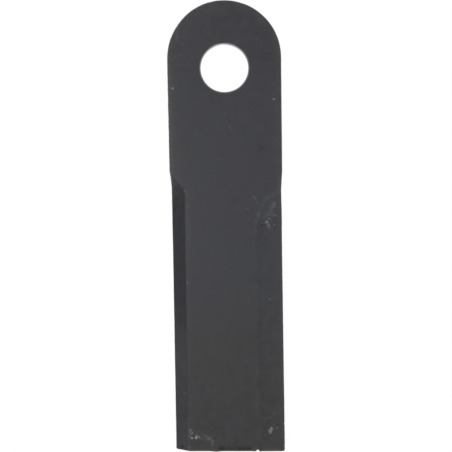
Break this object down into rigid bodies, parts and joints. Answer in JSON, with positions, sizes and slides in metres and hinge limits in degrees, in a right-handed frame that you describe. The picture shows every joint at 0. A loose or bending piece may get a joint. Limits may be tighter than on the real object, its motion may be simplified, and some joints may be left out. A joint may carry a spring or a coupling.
{
  "type": "chopping blade",
  "caption": "Flat steel chopper knife with a round head, a pivot hole and two long bevelled cutting edges, painted dark grey.",
  "frame": {"origin": "centre of the pivot hole, halfway through the plate", "axes": "+Y from the hole towards the crown of the round head, so the tip is at -Y; +Z along the hole, out of the front face; +X to the right as the front face is seen"},
  "size_m": [0.0504, 0.2003, 0.005],
  "materials": {
    "painted_steel": "thin satin dark grey paint over rolled steel, faintly mottled and scuffed"
  },
  "bodies": {
    "root": {"chopping_blade": "painted_steel"}
  },
  "joints": []
}
